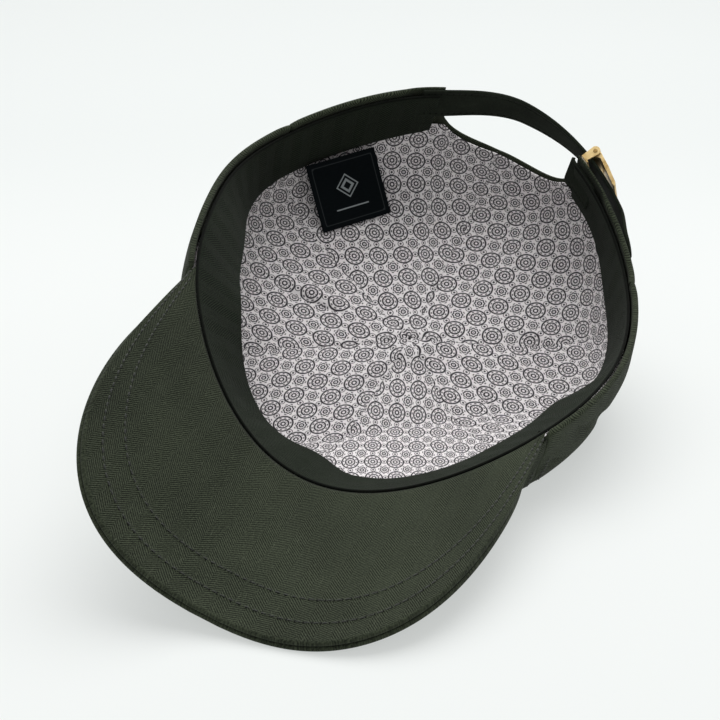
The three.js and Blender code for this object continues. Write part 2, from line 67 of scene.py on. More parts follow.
OPEN_LEFT, OPEN_RIGHT, OPEN_DEPTH, OPEN_POWER = 162.6, 202.2, 33.5, 3
BAND_WIDTH, BAND_THICK = 26.0, 1.2
CORNER, VISOR_LENGTH, VISOR_POWER, VISOR_SPREAD = 62.1, 79.7, 3.34, 1.02
VISOR_R, VISOR_SLOPE = 71.7, 20.9
VISOR_THICK, COVER = 4.0, 0.9
STRAP_WIDTH, STRAP_THICK, STRAP_START, STRAP_END = 15.5, 1.2, 157, 234
STRAP_LIFT, STRAP_LEAN, STRAP_RISE, TAIL_SPLIT, BUCKLE_AT = 2.9, 4, -2.5, 215, 203.6

# - what the cloth adds to them
HEM_FROM, HEM_TO = CORNER - 3.6, CORNER - 0.8  # where the hem comes down past the visor's end
SEWN_FRONT, SEWN_CORNER = 0.9, 3.0  # how far the front hem is drawn down on to the visor
HEM_ROLL, HEM_FADE = 0.35, (4.5, 9)  # the rolled hem's extra thickness, and the heights where it ends
FLOOR_SOFT = 1.2  # how softly the flat patch on the floor begins

UP = np.array([0.0, 0.0, 1.0])


def rotation(axis, degrees):
    return np.array(Matrix.Rotation(math.radians(degrees), 3, axis))


LIE = rotation("X", LIE_TILT) @ rotation("Y", 180 + LIE_ROLL)


def to_row(points):
    """Worn millimetres to row metres."""
    return (np.asarray(points) @ LIE.T + WORN_ORIGIN) / 1000


def smooth(a, b, x):
    t = np.clip((np.asarray(x, float) - a) / (b - a), 0, 1)
    return t * t * (3 - 2 * t)


def turned(degrees):
    """Angles between -180 and 180."""
    return (np.asarray(degrees, float) + 180) % 360 - 180


def bump(at, width, degrees):
    return np.exp(-((turned(np.asarray(degrees) - at) / width) ** 2))


def unit(v):
    """Vectors made one long."""
    return v / np.maximum(np.linalg.norm(v, axis=-1, keepdims=True), 1e-9)


def column(x):
    """Numbers ready to multiply vectors."""
    return np.asarray(x, float)[..., None]


# - the rim and the crown
def rim(degrees):
    a = np.radians(np.asarray(degrees, float))
    x = (HALF_WIDTH * (1 + RIM_EGG * np.cos(a)) - PINCH * bump(PINCH_AT, PINCH_WIDTH, degrees)) * np.sin(a)
    z = sum(w * np.cos((k + 1) * a) for k, w in enumerate(RIM_WAVES))
    return np.stack([x, -HALF_LENGTH * np.cos(a), z], -1)


def along(degrees):
    """Level directions that follow the rim."""
    step = rim(np.asarray(degrees) + 0.5) - rim(np.asarray(degrees) - 0.5)
    return unit(step * [1, 1, 0])


def outward(degrees):
    return np.cross(along(degrees), UP)


def beside(degrees, out, up):
    """Points that far out from the rim and up from it."""
    return rim(degrees) + outward(degrees) * column(out) + UP * column(up)


def on_floor(points, layers=0.0):
    """Points kept above the floor, and above the layers of cloth on it."""
    row = points @ LIE.T + WORN_ORIGIN
    z = row[..., 2] - layers
    lift = 0.5 * (z + np.sqrt(z * z + FLOOR_SOFT * FLOOR_SOFT)) - z
    return points + column(lift) * (LIE.T @ UP)


def hemmed(degrees):
    """1 where the crown has its own hem, and 0 where it is sewn to the visor."""
    return smooth(HEM_FROM, HEM_TO, np.abs(turned(degrees)))


def crown_curves(degrees):
    """Points along the crown's outer face for each angle, and how far along each of them lies."""
    a = np.radians(degrees)
    at_corner = smooth(25, CORNER - 4, np.abs(turned(degrees)))
    sewn_down = SEWN_FRONT + (SEWN_CORNER - SEWN_FRONT) * at_corner
    rise = (VISOR_THICK + GAP - sewn_down) * (1 - hemmed(degrees)) - HEM_DROP * hemmed(degrees)
    start = beside(degrees, WALL_OUT + 0 * a, rise)
    front = (1 + np.cos(a)) / 2
    swell = BULGE_BACK + (BULGE_FRONT - BULGE_BACK) * front
    swell = swell + (BULGE_SIDE - swell) * np.sin(a) ** 2 + BULGE_BUCKLE * bump(OPEN_RIGHT, 30, degrees)
    shoulder = start + outward(degrees) * column(swell)
    shoulder[..., 2] = SHOULDER_Z
    flat = APEX + (start - APEX) * FLAT
    flat[..., 2] = APEX[2]
    t = np.linspace(0, 1, 240)[None, :, None]
    s, h, f = start[:, None], shoulder[:, None], flat[:, None]
    line = s * (1 - t) ** 3 + 3 * h * t * (1 - t) ** 2 + 3 * f * t * t * (1 - t) + APEX * t**3
    step = np.linalg.norm(np.diff(line, axis=1), axis=-1)
    return line, np.concatenate([np.zeros((len(a), 1)), np.cumsum(step, 1)], 1)


def on_curve(at, far, points):
    """Points of a curve at these distances, where far holds each given point's own."""
    return np.stack([np.interp(at, far, values) for values in points.T], -1)


def blurred(points, weights):
    """Rows of numbers, each smoothed with its neighbours."""
    half = len(weights) // 2
    padded = np.concatenate([points[:1]] * half + [points] + [points[-1:]] * half)
    return sum(w * padded[k:k + len(points)] for k, w in enumerate(weights))


def crown_face(degrees, heights):
    """The crown's outer face at these angles, at heights (columns x rows) along it."""
    lines, far = crown_curves(np.asarray(degrees, float))
    return np.stack([on_curve(*curve) for curve in zip(heights, far, lines)])


def opening_depth(degrees):
    """How high the back opening reaches at these angles."""
    middle, half = (OPEN_LEFT + OPEN_RIGHT) / 2, (OPEN_RIGHT - OPEN_LEFT) / 2
    u = np.clip(np.abs(turned(np.asarray(degrees) - middle)) / half, 0, 1)
    return OPEN_DEPTH * (1 - u**OPEN_POWER) ** (1 / OPEN_POWER)


def grid_normals(p):
    """Into the crown, for a grid whose columns go round and whose rows go up."""
    return unit(np.cross(np.gradient(p, axis=1), np.gradient(p, axis=0)))


def spacing(p, axis):
    """How far each grid point lies along its column or row, in the points' own unit."""
    step = np.linalg.norm(np.diff(p, axis=axis), axis=-1)
    return np.cumsum(np.concatenate([np.zeros_like(np.take(step, [0], axis)), step], axis), axis)


def border_distance(p):
    """How far each grid point is from the grid's border."""
    u, v = spacing(p, 0), spacing(p, 1)
    return np.minimum(np.minimum(u, u[-1:] - u), np.minimum(v, v[:, -1:] - v))


def crowded(a, b, count, edge):
    """Positions from a to b, with a few more close to each end, so that an edge can be round."""
    near = edge * np.array([0, 0.06, 0.2, 0.45, 0.8])
    return np.unique(np.concatenate([a + near, b - near, np.linspace(a, b, count)[1:-1]]))


# - meshes
def add_object(name, data):
    item = bpy.data.objects.new(name, data)
    bpy.context.scene.collection.objects.link(item)
    return item


def new_mesh(name, points, faces, uvs, material, body="cap"):
    """A smooth piece that rides a body; with no body named, it is left unattached."""
    mesh = bpy.data.meshes.new(name)
    mesh.from_pydata(np.asarray(points).tolist(), [], faces)
    corner = np.empty(len(mesh.loops), np.int32)
    mesh.loops.foreach_get("vertex_index", corner)
    for layer, uv in uvs.items():
        values = np.asarray(uv)[corner].astype(np.float32).ravel()
        mesh.uv_layers.new(name=layer).data.foreach_set("uv", values)
    mesh.polygons.foreach_set("use_smooth", [True] * len(mesh.polygons))
    mesh.materials.append(material)
    mesh.validate()
    piece = add_object(name, mesh)
    if body:
        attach(piece, body)
    return piece


def grid_faces(n, m, first=0, flip=False):
    """The quads of an n by m grid of points."""
    i, j = np.meshgrid(np.arange(n - 1), np.arange(m - 1), indexing="ij")
    a = first + i * m + j
    quads = np.stack([a, a + m, a + m + 1, a + 1], -1).reshape(-1, 4)
    return (quads[:, ::-1] if flip else quads).tolist()


def slab(name, base, normal, thick, uvs, material, body="cap"):
    """A sheet with round edges: base (worn mm) is one face, and it is thick along normal."""
    n, m = base.shape[:2]
    half = np.broadcast_to(np.asarray(thick, float) / 2, (n, m))
    from_edge = np.clip(half - border_distance(base), 0, None)
    spread = np.sqrt(np.clip(half**2 - from_edge**2, 0, None))
    lower = base + normal * column(half - spread)
    upper = base + normal * column(half + spread)
    points = to_row(np.concatenate([lower.reshape(-1, 3), upper.reshape(-1, 3)]))
    # both faces use the lower face's border points
    shared = np.arange(2 * n * m)
    border = np.zeros((n, m), bool)
    border[[0, -1], :] = border[:, [0, -1]] = True
    shared[n * m:][border.ravel()] = np.arange(n * m)[border.ravel()]
    faces = shared[grid_faces(n, m, 0, True) + grid_faces(n, m, n * m)].tolist()
    both = {k: np.concatenate([u.reshape(-1, 2)] * 2) for k, u in uvs.items()}
    a, b, c = (points[faces[0][k]] for k in (0, 1, 2))
    if np.dot(np.cross(b - a, c - b), LIE @ normal[0, 0]) > 0:
        faces = [f[::-1] for f in faces]
    return new_mesh(name, points, faces, both, material, body)


def declare_sheet(base):
    """Works out a sheet's lengths each way and its cells' diagonals; nothing is kept or returned."""
    u, v = spacing(base, 0)[-1], spacing(base, 1)[:, -1]
    diagonals = base[1:, 1:] - base[:-1, :-1], base[:-1, 1:] - base[1:, :-1]


# - materials: a small way to write node sums
class Val:
    """A number in a node tree, which arithmetic makes into Math nodes."""

    def __init__(self, tree, socket):
        self.tree, self.socket = tree, socket

    def math(self, kind, *others):
        node = self.tree.nodes.new("ShaderNodeMath")
        node.operation = kind
        for k, value in enumerate((self,) + others):
            if isinstance(value, Val):
                self.tree.links.new(value.socket, node.inputs[k])
            else:
                node.inputs[k].default_value = value
        return Val(self.tree, node.outputs[0])

    def __add__(self, o): return self.math("ADD", o)
    def __radd__(self, o): return self.math("ADD", o)
    def __sub__(self, o): return self.math("SUBTRACT", o)
    def __rsub__(self, o): return (self * -1) + o
    def __mul__(self, o): return self.math("MULTIPLY", o)
    def __rmul__(self, o): return self.math("MULTIPLY", o)
    def __truediv__(self, o): return self.math("DIVIDE", o)
    def __abs__(self): return self.math("ABSOLUTE")
    def fract(self): return self.math("FRACT")
    def floor(self): return self.math("FLOOR")
    def sin(self): return self.math("SINE")
    def most(self, o): return self.math("MAXIMUM", o)
    def least(self, o): return self.math("MINIMUM", o)
    def wave(self, pitch): return abs((self / pitch).fract() - 0.5) * 2

    def ramp(self, a, b, low=0.0, high=1.0):
        """low at a, high at b, smooth between them."""
        node = self.tree.nodes.new("ShaderNodeMapRange")
        node.interpolation_type = "SMOOTHSTEP"
        self.tree.links.new(self.socket, node.inputs[0])
        for k, value in enumerate((a, b, low, high)):
            node.inputs[k + 1].default_value = value
        return Val(self.tree, node.outputs[0])


class Finish:
    def __init__(self, name):
        self.material = bpy.data.materials.new(name)
        self.material.use_nodes = True
        self.tree = self.material.node_tree
        self.shader = self.tree.nodes["Principled BSDF"]

    def node(self, kind):
        return self.tree.nodes.new(kind)

    def uv(self, layer):
        """Two numbers of a UV layer, in millimetres."""
        source, split = self.node("ShaderNodeUVMap"), self.node("ShaderNodeSeparateXYZ")
        source.uv_map = layer
        self.tree.links.new(source.outputs[0], split.inputs[0])
        return Val(self.tree, split.outputs[0]), Val(self.tree, split.outputs[1])

    def object_place(self):
        source = self.node("ShaderNodeTexCoord")
        return source.outputs["Object"]

    def noise(self, x, y, scale_x, scale_y, detail=3.0, rough=0.55):
        """Noise over two numbers in millimetres; the scales are in cycles a millimetre."""
        join, node = self.node("ShaderNodeCombineXYZ"), self.node("ShaderNodeTexNoise")
        for value, socket in ((x * scale_x, join.inputs[0]), (y * scale_y, join.inputs[1])):
            self.tree.links.new(value.socket, socket)
        node.inputs["Scale"].default_value = 1.0
        node.inputs["Detail"].default_value = detail
        node.inputs["Roughness"].default_value = rough
        self.tree.links.new(join.outputs[0], node.inputs["Vector"])
        return Val(self.tree, node.outputs[0])

    def noise_in_place(self, scale, detail=3.0, stretch=(1, 1, 1)):
        """Noise over the object's own place; the scale is in cycles a metre."""
        scaled, node = self.node("ShaderNodeVectorMath"), self.node("ShaderNodeTexNoise")
        scaled.operation = "MULTIPLY"
        self.tree.links.new(self.object_place(), scaled.inputs[0])
        scaled.inputs[1].default_value = stretch
        self.tree.links.new(scaled.outputs[0], node.inputs["Vector"])
        node.inputs["Scale"].default_value = scale
        node.inputs["Detail"].default_value = detail
        return Val(self.tree, node.outputs[0])

    def mix(self, factor, a, b):
        """Colour a where the factor is 0, and b where it is 1."""
        node = self.node("ShaderNodeMix")
        node.data_type = "RGBA"
        self.tree.links.new(factor.socket, node.inputs[0])
        for colour, socket in ((a, node.inputs[6]), (b, node.inputs[7])):
            if isinstance(colour, tuple):
                socket.default_value = (*colour, 1)
            else:
                self.tree.links.new(colour, socket)
        return node.outputs[2]

    def done(self, colour, rough=None, height=None, **constants):
        """height is in millimetres."""
        self.tree.links.new(colour, self.shader.inputs["Base Color"])
        if isinstance(rough, Val):
            self.tree.links.new(rough.socket, self.shader.inputs["Roughness"])
        elif rough is not None:
            self.shader.inputs["Roughness"].default_value = rough
        if height is not None:
            node = self.node("ShaderNodeBump")
            node.inputs["Strength"].default_value = 1.0
            node.inputs["Distance"].default_value = 0.001
            self.tree.links.new(height.socket, node.inputs["Height"])
            self.tree.links.new(node.outputs[0], self.shader.inputs["Normal"])
        for name, value in constants.items():
            self.shader.inputs[name.replace("_", " ")].default_value = value
        return self.material


def srgb(r, g, b):
    """A colour from 0 to 255 display values."""
    return tuple((c / 255 / 12.92) if c <= 10 else ((c / 255 + 0.055) / 1.055) ** 2.4 for c in (r, g, b))


STRIPE, WALE, RIDGE = 5.2, 1.2, 0.14  # width of a herringbone stripe, and its ridges' pitch and height
NEEDLE_PITCH = 3.0  # from one needle hole to the next


def herringbone(name, dark, light, fleck, rows=(), groove=None):
    """Herringbone twill. rows are the stitch rows' distances from the edge, in the seam UV, and
    groove is how far the shade of a crease reaches in from the edge."""
    f = Finish(name)
    x, y = f.uv("weave")
    wobble = f.noise(x, y, 0.11, 0.11) * 0.8
    zig = abs((x / (2 * STRIPE)).fract() - 0.5) * (2 * STRIPE)
    jump = (x / STRIPE).floor() * 0.5
    wale = ((y + zig + wobble) / WALE + jump).fract()
    u, v = f.uv("seam")
    pressed = v.ramp(0.3, 2.8, 0.2, 1.0)
    ridge = (abs(wale - 0.5) * 2 - 0.5) * pressed + 0.5
    yarn = f.noise(x, y, 2.6, 0.9, 2.0)
    slub = f.noise(x, y, 1.1, 0.10, 3.0)
    patch = f.noise(x, y, 0.03, 0.025, 2.0)
    grit = f.noise(x, y, 1.7, 1.3, 2.0)
    tone = ridge + grit.ramp(0.35, 0.65) * 0.4 + yarn * 0.4 + patch * 0.5 - 0.76
    colour = f.mix(tone.most(0.0).least(1.0), dark, light)
    colour = f.mix(slub.ramp(0.60, 0.75, 0.0, 0.4) * yarn.ramp(0.40, 0.62), colour, fleck)
    height = ridge * RIDGE + yarn * 0.10 + f.noise(x, y, 0.16, 0.16, 2.0) * 0.35
    shade = tuple(c * 0.15 for c in dark)
    for row in rows:
        near = abs(v - row)
        hole = abs((u / NEEDLE_PITCH).fract() - 0.5).ramp(0.37, 0.45) * near.ramp(0.35, 0.75, 1.0, 0.0)
        colour = f.mix(hole * 0.9, colour, shade)
        height = height - near.ramp(0.2, 1.5, 0.32, 0.0) - hole * 0.3
    if groove:
        colour = f.mix(v.ramp(-0.2, groove, 0.8, 0.0), colour, shade)
    return f.done(colour, 0.92, height, Sheen_Weight=0.04, Sheen_Roughness=0.5, Specular_IOR_Level=0.12)


def plain_twill(name, dark, light, row):
    """A fine diagonal twill, with a row of stitching at that distance from each long edge, its needle holes
    painted in shade.
    """
    f = Finish(name)
    x, y = f.uv("weave")
    u, v = f.uv("seam")
    ridge = (x + y).wave(0.62)
    yarn = f.noise(x, y, 1.9, 0.7, 2.0)
    patch = f.noise(x, y, 0.05, 0.09, 3.0)
    colour = f.mix((ridge * 0.35 + yarn * 0.6 + patch * 0.7 - 0.45).most(0.0).least(1.0), dark, light)
    near = abs(v - row)
    hole = abs((u / 2.6).fract() - 0.5).ramp(0.34, 0.44) * near.ramp(0.3, 0.6, 1.0, 0.0)
    # painted shade: the needle holes get a colour far darker than the cloth's dark yarn
    colour = f.mix(hole * 0.8, colour, tuple(c * 0.2 for c in dark))
    height = ridge * 0.09 + yarn * 0.06 + patch * 0.3 - near.ramp(0.15, 1.0, 0.30, 0.0)
    return f.done(colour, 0.94, height, Sheen_Weight=0.02, Specular_IOR_Level=0.08)


PRINT_PITCH = 10.2  # from one rosette to the next


def printed_cotton(name):
    """A geometric print: ringed rosettes on a square grid, with small rosettes and dots between."""
    f = Finish(name)
    x, y = f.uv("weave")
    blur = f.noise(x, y, 0.7, 0.7, 2.0) * 0.018
    ground = srgb(240, 237, 237)
    ink = srgb(34, 29, 36)

    def cell(dx, dy):
        """Offsets from the nearest point of the grid, as parts of the pitch."""
        return (x / PRINT_PITCH + dx).fract() - 0.5, (y / PRINT_PITCH + dy).fract() - 0.5

    def radius(a, b):
        """How far that is from the point, a little uneven."""
        return (a * a + b * b).math("SQRT") + blur

    def ring(r, at, half):
        return abs(r - at).ramp(half * 0.6, half * 1.5, 1.0, 0.0)

    def disc(r, edge):
        return r.ramp(edge - 0.015, edge + 0.015, 1.0, 0.0)

    a, b = cell(0.0, 0.0)
    r = radius(a, b)
    angle = b.math("ARCTAN2", a)
    petals = (angle * 10).sin() * 0.5 + 0.5
    drawn = ring(r, 0.370, 0.031).most(ring(r, 0.295, 0.024) * petals.ramp(0.4, 0.7) * 0.9)
    drawn = drawn.most(ring(r, 0.215, 0.028)).most(ring(r, 0.09, 0.028))
    drawn = drawn.most(ring(r, 0.16, 0.016) * petals.ramp(0.4, 0.7, 1.0, 0.0) * 0.8)
    c, d = cell(0.5, 0.5)
    q = radius(c, d)
    leaves = ((d.math("ARCTAN2", c)) * 8).sin()
    drawn = drawn.most(ring(q, 0.085, 0.026)).most(disc(q, 0.03))
    drawn = drawn.most(ring(q + leaves * 0.016, 0.185, 0.028) * 0.95)
    drawn = drawn.most(ring(q, 0.265, 0.022) * leaves.ramp(-0.2, 0.5) * 0.9)
    for dx, dy in ((0.5, 0.0), (0.0, 0.5)):
        g, h = cell(dx, dy)
        near = radius(g, h)
        drawn = drawn.most(disc(near, 0.055))
        drawn = drawn.most(ring(near, 0.115, 0.016) * 0.85)
    wear = f.noise(x, y, 1.6, 1.6, 2.0)
    drawn = drawn * wear.ramp(0.15, 0.45, 0.72, 0.98)
    warp = (x.wave(0.42) + y.wave(0.42)) * 0.5
    cloth = f.mix(f.noise(x, y, 0.05, 0.05, 2.0), ground, srgb(228, 221, 223))
    colour = f.mix(drawn, cloth, ink)
    height = warp * 0.05 + f.noise(x, y, 0.13, 0.13, 3.0) * 0.55
    return f.done(colour, 0.9, height, Sheen_Weight=0.03, Specular_IOR_Level=0.12)


def satin_label(name):
    """A dark woven label with a thin border, a plain lozenge and a short line."""
    f = Finish(name)
    x, y = f.uv("weave")
    v = f.uv("seam")[1]
    base = f.mix(f.noise(x, y, 0.3, 2.2, 2.0), srgb(4, 7, 9), srgb(13, 19, 22))
    pale = srgb(150, 156, 158)
    edge = abs(v - 2.2).ramp(0.10, 0.28, 1.0, 0.0) * 0.10
    lozenge = abs(x) + abs(y - 13.0)
    mark = abs(lozenge - 5.0).ramp(0.25, 0.5, 1.0, 0.0).most(abs(lozenge - 2.6).ramp(0.5, 0.9, 1.0, 0.0))
    mark = mark.most(abs(y - 22.5).ramp(0.2, 0.4, 1.0, 0.0) * abs(x).ramp(7.5, 7.9, 1.0, 0.0))
    colour = f.mix(mark.most(edge) * y.wave(0.5).ramp(0.0, 0.5, 0.6, 0.95), base, pale)
    height = x.wave(0.34) * 0.03 + y.wave(0.5) * 0.02
    return f.done(colour, 0.8, height, Sheen_Weight=0.01, Specular_IOR_Level=0.06)


def metal(name, dark, light, rough):
    """Metal with faint clouds and fine scratches."""
    f = Finish(name)
    cloud = f.noise_in_place(160, 3.0)
    scratch = f.noise_in_place(2400, 2.0, (1, 0.04, 0.3))
    colour = f.mix(cloud.ramp(0.3, 0.7), dark, light)
    roughness = cloud.ramp(0.3, 0.7, rough, rough + 0.14) + scratch.ramp(0.45, 0.7, 0.0, 0.1)
    return f.done(colour, roughness, scratch * 0.02 + cloud * 0.03, Metallic=1.0)


def plain_board(name):
    """Pale moulded board."""
    f = Finish(name)
    cloud = f.noise_in_place(300, 4.0)
    colour = f.mix(cloud, srgb(212, 206, 192), srgb(196, 190, 176))
    return f.done(colour, 0.6, cloud * 0.05)


def thread(name, dark, light):
    """Twisted sewing thread."""
    f = Finish(name)
    twist = f.noise_in_place(3500, 2.0)
    return f.done(f.mix(twist, dark, light), 0.7, twist * 0.08, Sheen_Weight=0.2)


DARK_OLIVE, OLIVE, FLECK = srgb(19, 23, 16), srgb(74, 81, 64), srgb(104, 110, 92)
SHELL = herringbone("shell_twill", DARK_OLIVE, OLIVE, FLECK)
VISOR_ROWS = 10.0, 22.0  # the stitch rows' distances from the visor's edge
VISOR_UNDER = herringbone("visor_twill", DARK_OLIVE, OLIVE, FLECK, rows=VISOR_ROWS)
VISOR_TOP = herringbone("visor_top_twill", DARK_OLIVE, OLIVE, FLECK, rows=VISOR_ROWS)
# the band is the shell's olive herringbone, painted darker all over as painted shade inside the crown
BAND = herringbone("band_twill", srgb(7, 11, 6), srgb(42, 51, 37), srgb(66, 75, 58), groove=0.7)
STRAP = plain_twill("strap_twill", srgb(12, 16, 11), srgb(52, 58, 48), row=2.0)
PRINT = printed_cotton("printed_lining")
LABEL = satin_label("label_cloth")
BRASS = metal("brass", srgb(176, 146, 92), srgb(214, 190, 140), 0.3)
BRASS_DARK = metal("brass_dark", srgb(120, 96, 58), srgb(160, 132, 84), 0.34)
STEEL = metal("plated_steel", srgb(150, 150, 148), srgb(196, 196, 192), 0.28)
BOARD = plain_board("board_plastic")
THREAD = thread("dark_thread", srgb(14, 18, 12), srgb(36, 41, 31))

# - the crown: shell panels and lining panels
LINING_FROM = 0.17  # the share of a panel's height that the sweatband hides
LINING_HOLE, LINING_SINK = 0.6, 0.45
PRONG_EDGE = 5.6, 13.6  # distances from the centre where the lining comes off the button's prong
PANELS = ["front_left", "side_left", "back_left", "back_right", "side_right", "front_right"]


def panel_columns(a, b, count):
    """Angles from one seam to the next, with more where the back opening begins and ends."""
    columns = crowded(a, b, count, 1.2)
    for edge, towards in ((OPEN_LEFT, 1), (OPEN_RIGHT, -1)):
        extra = edge + towards * np.array([0, 0.02, 0.1, 0.3, 0.7, 1.3, 2.2])
        columns = np.concatenate([columns, extra[(extra > a) & (extra < b)]])
    return np.unique(np.round(columns, 4))


def panel_uv(columns, points, middle, wide=1.0, tall=1.0):
    """A panel laid out flat, without shear: across from its middle line, and along that line.
    wide and tall draw the cloth's pattern out across and along."""
    centre = np.argmin(np.abs(columns - middle))
    spine = points[centre]
    way = unit(np.gradient(spine, axis=0))
    forward = ((points - spine) * way).sum(-1)
    across = spacing(points, 0)
    across = across - across[centre]
    sideways = np.sign(across) * np.sqrt(np.clip(across**2 - forward**2, 0, None))
    return np.stack([sideways / wide, (spacing(points, 1)[centre] + forward) / tall], -1)


def folds(degrees, heights, depth):
    """Soft unevenness of cloth that stands by itself, as a push along the normal."""
    a = np.radians(degrees)[:, None]
    broad = np.sin(3 * a + 0.9 + heights / 31) * np.sin(heights / 19 + 2 * a)
    fine = np.sin(11 * a + heights / 9.5) * np.sin(heights / 13 - 5 * a + 1.3)
    return depth * (0.7 * broad + 0.3 * fine)


def seam_pull(heights, points):
    """Cloth pulled in along the panel's two seams, with small puckers."""
    u = spacing(points, 0)
    near = np.minimum(u, u[-1:] - u)
    pucker = 1 + 0.35 * np.sin(heights * 0.9)
    return np.exp(-((near / 3.2) ** 2)) * pucker


def creases(wanted, columns, heights, per_degree):
    """The push of each wanted crease; per_degree is about how many millimetres a degree spans."""
    push = 0 * heights
    for at, height, slope, width, length, depth in wanted:
        across = turned(columns - at)[:, None] * per_degree
        line = across + (heights - height) * slope
        run = (heights - height) - across * slope
        push = push + depth * np.exp(-((line / width) ** 2) - (run / length) ** 2)
    return push


def shell_panel(name, a, b):
    """An outer panel, from its rolled hem to the button."""
    columns = panel_columns(a, b, 40)
    rows = crowded(0, 1, 64, 0.012)
    low, top = opening_depth(columns), crown_curves(columns)[1][:, -1] - CENTRE_HOLE
    heights = low[:, None] + (top - low)[:, None] * rows
    face = crown_face(columns, heights)
    normal = grid_normals(on_floor(face))
    lift = folds(columns, heights, 0.9) * smooth(4, 20, heights)
    lift = lift + creases(WALL_CREASES, columns, heights, 1.45)
    face = on_floor(face + normal * column(lift + 0.35 * seam_pull(heights, face)))
    normal = grid_normals(face)
    before_strap = 1 - smooth(STRAP_START - 6, STRAP_START - 1, columns)
    past_strap = smooth(OPEN_RIGHT + 10, OPEN_RIGHT + 15, columns)
    hem = hemmed(columns) * (1 - (1 - before_strap) * (1 - past_strap))
    fade = 1 - smooth(*HEM_FADE, heights)
    thick = SHELL_THICK + (HEM_THICK + HEM_ROLL - SHELL_THICK) * fade * hem[:, None]
    u, v = spacing(face, 0), heights
    seam = np.stack([v, np.minimum(u, u[-1:] - u)], -1)
    uvs = {"weave": panel_uv(columns, face, (a + b) / 2), "seam": seam}
    piece = slab(f"{name}_shell", face, normal, thick, uvs, SHELL)
    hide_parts(f"{name}_panel")
    declare_sheet(face)
    return piece


# angle, height, slope, width, length and depth of each crease: first the wall's, then the lining's
WALL_CREASES = [
    (-74, 16, 0.9, 3.2, 16, 1.8),
    (-84, 24, 0.7, 3.6, 20, 1.6),
    (-66, 26, 1.3, 3.0, 14, 1.3),
    (84, 22, -0.8, 4.0, 20, 1.2),
]

LINING_FOLDS = [
    (91, 90, 0.05, 1.2, 17, -2.0),
    (97, 88, 0.1, 4.2, 18, 1.7),
    (-79, 89, 0.69, 1.6, 13, -1.4),
    (-73, 89, 0.69, 3.6, 15, 1.3),
    (-126, 72, 0.5, 3.0, 20, 1.2),
    (-40, 70, 0.8, 3.4, 16, 1.0),
    (150, 72, -0.5, 3.0, 16, 0.9),
]


def lining_panel(name, a, b):
    """A printed panel inside the shell, from behind the sweatband to the crown's centre."""
    columns = panel_columns(a, b, 44)
    rows = crowded(0, 1, 70, 0.01)
    top = crown_curves(columns)[1][:, -1] - LINING_HOLE
    low = np.maximum(opening_depth(columns) + 1, LINING_FROM * top)
    heights = low[:, None] + (top - low)[:, None] * rows
    face = on_floor(crown_face(columns, heights))
    normal = grid_normals(face)
    radius = np.hypot(face[..., 0] - APEX[0], face[..., 1] - APEX[1])
    depth = SHELL_THICK + LINING_ROOM + PRONG_ROOM * (1 - smooth(*PRONG_EDGE, radius))
    push = 0.9 + folds(columns + 40, heights, 0.8) + creases(LINING_FOLDS, columns, heights, 1.1)
    push = push * smooth(0, 14, heights - low[:, None]) * smooth(2, 12, top[:, None] - heights)
    push = push - 0.5 * seam_pull(heights, face)
    base = face + normal * column(depth + np.maximum(push, -LINING_SINK))
    normal = grid_normals(base)
    u, v = spacing(base, 0), heights
    seam = np.stack([v, np.minimum(u, u[-1:] - u)], -1)
    front = math.cos(math.radians((a + b) / 2))
    weave = panel_uv(columns, face, (a + b) / 2, 0.97 - 0.13 * front, 1.22)
    uvs = {"weave": weave, "seam": seam}
    piece = slab(f"{name}_print", base, normal, LINING_THICK, uvs, PRINT)
    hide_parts(f"{name}_lining")
    declare_sheet(base)
    return piece


for k, panel_name in enumerate(PANELS):
    shell_panel(panel_name, 60 * k, 60 * (k + 1))
    lining_panel(panel_name, 60 * k, 60 * (k + 1))


# - the sweatband
# how far it leans into the crown, in degrees, at angles round the rim
LEAN = [(-157, -17), (-146, -16), (-131, -0.5), (-111, 0.5), (-98, 8), (-91, 16), (-84, 28), (-78, 32),
        (-72, 27), (-58, 31), (-40, 31.5), (-21, 38), (-10, 45), (-2, 57), (6, 54), (13, 47), (25, 39),
        (40, 37.5), (51, 42.5), (61, 47.5), (70, 39), (81, 33.5), (96, 18), (104, 9.5), (118, 0),
        (146, -0.5), (154, -4), (162, -13)]
CLOTH_UNDER_BAND = 4.6  # how much cloth lies between the band and the floor


def smooth_lean(degrees):
    """LEAN with its corners rounded off."""
    at, value = np.array(LEAN, float).T
    fine = np.linspace(at[0], at[-1], 1600)
    line = np.interp(fine, at, value)
    width = 5.0
    kernel = np.exp(-(np.linspace(-3, 3, int(6 * width / (fine[1] - fine[0]))) ** 2) / 2)
    padded = np.pad(line, len(kernel) // 2, mode="edge")
    line = np.convolve(padded, kernel / kernel.sum(), "same")[len(kernel) // 2:][:len(fine)]
    return np.interp(turned(degrees), fine, line)


def sweatband():
    """The band from one side of the back opening to the other, leaning and buckling inward."""
    columns = crowded(OPEN_RIGHT - 360 + 1, OPEN_LEFT - 1, 300, 0.5)
    rows = crowded(-0.5, BAND_WIDTH, 26, 1.0)
    lean = np.radians(smooth_lean(columns))
    direction = UP * column(np.cos(lean)) - outward(columns) * column(np.sin(lean))
    across = unit(np.cross(along(columns), direction))
    base = rim(columns)[:, None] + direction[:, None] * rows[None, :, None]
    a = np.radians(columns)[:, None]
    soft = np.sin(9 * a + 0.4) * np.sin(rows / 12) + 0.6 * np.sin(17 * a + 2) * np.sin(rows / 8.0)
    base = base - across[:, None] * column(0.35 * soft * smooth(3, 16, rows)[None])
    base = on_floor(base, CLOTH_UNDER_BAND)
    normal = np.broadcast_to(across[:, None], base.shape)
    u = spacing(base, 0)[:, :1] + 0 * rows
    uv = np.stack([u, np.broadcast_to(rows, u.shape)], -1)
    piece = slab("sweatband_cloth", base, normal, BAND_THICK, {"weave": uv, "seam": uv}, BAND)
    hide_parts("sweatband")
    declare_sheet(base)


sweatband()


